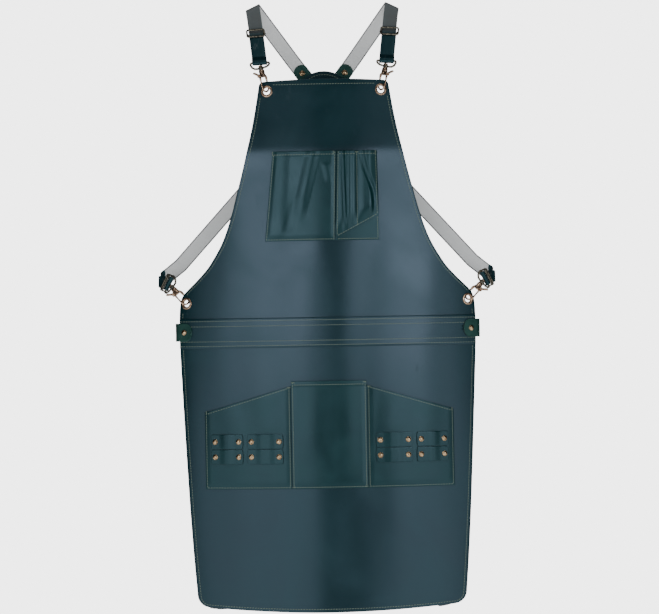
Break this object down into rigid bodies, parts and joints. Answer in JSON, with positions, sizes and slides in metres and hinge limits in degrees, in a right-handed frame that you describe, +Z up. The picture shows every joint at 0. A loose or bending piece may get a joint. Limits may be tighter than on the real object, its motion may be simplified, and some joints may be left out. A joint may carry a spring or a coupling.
{
  "type": "bib apron",
  "caption": "Leather bib apron with cross-back strap harness, snap hooks in grommets, chest, pen and waist pockets and riveted tool loops.",
  "frame": {"origin": "midway between the tops of the two shoulder strap folds, where a rail or hook holds the apron up", "axes": "+Z up along the apron, +X towards the right of someone who looks at its front, -Y out of its front"},
  "size_m": [0.5806, 0.1508, 1.0453],
  "materials": {
    "leather_dark": "glossy pull-up leather, dark teal, fine grain",
    "leather_strap": "charcoal strap leather with a pale grey lining",
    "leather_tab": "dark green leather",
    "brass": "antique brass, polished high spots"
  },
  "bodies": {
    "root": {"back_patch_inner": "leather_dark", "back_patch_outer": "leather_dark", "bib_grommet_left": "brass", "bib_grommet_right": "brass", "bib_panel": "leather_dark", "chest_pocket": "leather_dark", "loop_rivets_left_lower": "brass", "loop_rivets_left_upper": "brass", "loop_rivets_right_lower": "brass", "loop_rivets_right_upper": "brass", "pen_pocket": "leather_dark", "pen_pocket_backing": "leather_dark", "shoulder_strap_left": "leather_strap", "shoulder_strap_right": "leather_strap", "side_tab_left": "leather_tab", "side_tab_right": "leather_tab", "skirt_panel": "leather_dark", "strap_rivet_shoulder_left": "brass", "strap_rivet_shoulder_right": "brass", "strap_rivet_waist_left": "brass", "strap_rivet_waist_right": "brass", "strap_tab_shoulder_left": "leather_tab", "strap_tab_shoulder_right": "leather_tab", "strap_tab_waist_left": "leather_tab", "strap_tab_waist_right": "leather_tab", "tab_rivet_left": "brass", "tab_rivet_right": "brass", "tool_loop_left_lower_inner": "leather_dark", "tool_loop_left_lower_outer": "leather_dark", "tool_loop_left_upper_inner": "leather_dark", "tool_loop_left_upper_outer": "leather_dark", "tool_loop_right_lower_inner": "leather_dark", "tool_loop_right_lower_outer": "leather_dark", "tool_loop_right_upper_inner": "leather_dark", "tool_loop_right_upper_outer": "leather_dark", "waist_grommet_left": "brass", "waist_grommet_right": "brass", "waist_pocket_center": "leather_dark", "waist_pocket_left": "leather_dark", "waist_pocket_right": "leather_dark", "waist_strap_left": "leather_strap", "waist_strap_right": "leather_strap", "waistband": "leather_dark"},
    "shoulder_slider_left": {"shoulder_slider_left": "brass"},
    "shoulder_d_loop_left": {"shoulder_d_loop_left": "brass"},
    "shoulder_hook_left": {"shoulder_hook_left": "brass"},
    "shoulder_gate_left": {"shoulder_gate_left": "brass"},
    "shoulder_slider_right": {"shoulder_slider_right": "brass"},
    "shoulder_d_loop_right": {"shoulder_d_loop_right": "brass"},
    "shoulder_hook_right": {"shoulder_hook_right": "brass"},
    "shoulder_gate_right": {"shoulder_gate_right": "brass"},
    "waist_slider_left": {"waist_slider_left": "brass"},
    "waist_d_loop_left": {"waist_d_loop_left": "brass"},
    "waist_hook_left": {"waist_hook_left": "brass"},
    "waist_gate_left": {"waist_gate_left": "brass"},
    "waist_slider_right": {"waist_slider_right": "brass"},
    "waist_d_loop_right": {"waist_d_loop_right": "brass"},
    "waist_hook_right": {"waist_hook_right": "brass"},
    "waist_gate_right": {"waist_gate_right": "brass"}
  },
  "joints": [
    {"name": "shoulder_slider_left_slide", "type": "slide", "parent": "root", "child": "shoulder_slider_left", "axis": [-0.108, 0.3337, 0.9365], "range_m": [-0.025, 0.018]},
    {"name": "shoulder_d_loop_left_hinge", "type": "hinge", "parent": "root", "child": "shoulder_d_loop_left", "pos_m": [-0.10862, -0.03967, -0.09868], "axis": [-0.9812, 0.1879, -0.0436], "range_deg": [-0.8, 0.8]},
    {"name": "shoulder_hook_left_swivel", "type": "hinge", "parent": "shoulder_d_loop_left", "child": "shoulder_hook_left", "pos_m": [-0.10862, -0.03967, -0.09868], "axis": [-0.2126, 0.0407, 0.9763], "range_deg": [-8, 8]},
    {"name": "shoulder_gate_left_hinge", "type": "hinge", "parent": "shoulder_hook_left", "child": "shoulder_gate_left", "pos_m": [-0.10878, -0.04547, -0.12142], "axis": [0.6776, -0.7138, 0.1773], "range_deg": [0, 10], "stiffness_Nm_per_rad": 0.05, "springref_deg": -5.73},
    {"name": "shoulder_slider_right_slide", "type": "slide", "parent": "root", "child": "shoulder_slider_right", "axis": [0.108, 0.3337, 0.9365], "range_m": [-0.025, 0.018]},
    {"name": "shoulder_d_loop_right_hinge", "type": "hinge", "parent": "root", "child": "shoulder_d_loop_right", "pos_m": [0.10862, -0.03967, -0.09868], "axis": [0.9812, 0.1879, -0.0436], "range_deg": [-0.8, 0.8]},
    {"name": "shoulder_hook_right_swivel", "type": "hinge", "parent": "shoulder_d_loop_right", "child": "shoulder_hook_right", "pos_m": [0.10862, -0.03967, -0.09868], "axis": [0.2126, 0.0407, 0.9763], "range_deg": [-8, 8]},
    {"name": "shoulder_gate_right_hinge", "type": "hinge", "parent": "shoulder_hook_right", "child": "shoulder_gate_right", "pos_m": [0.10878, -0.04547, -0.12142], "axis": [0.6776, 0.7138, -0.1773], "range_deg": [0, 10], "stiffness_Nm_per_rad": 0.05, "springref_deg": -5.73},
    {"name": "waist_slider_left_slide", "type": "slide", "parent": "root", "child": "waist_slider_left", "axis": [-0.2345, 0.9676, 0.0938], "range_m": [-0.002, 0.004]},
    {"name": "waist_d_loop_left_hinge", "type": "hinge", "parent": "root", "child": "waist_d_loop_left", "pos_m": [-0.27333, 0.025, -0.47327], "axis": [-0.4296, 0.2247, -0.8746], "range_deg": [-0.8, 0.8]},
    {"name": "waist_hook_left_swivel", "type": "hinge", "parent": "waist_d_loop_left", "child": "waist_hook_left", "pos_m": [-0.27333, 0.025, -0.47327], "axis": [-0.6374, 0.3334, 0.6947], "range_deg": [-8, 8]},
    {"name": "waist_gate_left_hinge", "type": "hinge", "parent": "waist_hook_left", "child": "waist_gate_left", "pos_m": [-0.26419, 0.01375, -0.49172], "axis": [0.2384, -0.772, 0.5892], "range_deg": [0, 10], "stiffness_Nm_per_rad": 0.05, "springref_deg": -5.73},
    {"name": "waist_slider_right_slide", "type": "slide", "parent": "root", "child": "waist_slider_right", "axis": [0.2345, 0.9676, 0.0938], "range_m": [-0.002, 0.004]},
    {"name": "waist_d_loop_right_hinge", "type": "hinge", "parent": "root", "child": "waist_d_loop_right", "pos_m": [0.27333, 0.025, -0.47327], "axis": [0.4296, 0.2247, -0.8746], "range_deg": [-0.8, 0.8]},
    {"name": "waist_hook_right_swivel", "type": "hinge", "parent": "waist_d_loop_right", "child": "waist_hook_right", "pos_m": [0.27333, 0.025, -0.47327], "axis": [0.6374, 0.3334, 0.6947], "range_deg": [-8, 8]},
    {"name": "waist_gate_right_hinge", "type": "hinge", "parent": "waist_hook_right", "child": "waist_gate_right", "pos_m": [0.26419, 0.01375, -0.49172], "axis": [0.2384, 0.772, -0.5892], "range_deg": [0, 10], "stiffness_Nm_per_rad": 0.05, "springref_deg": -5.73}
  ]
}
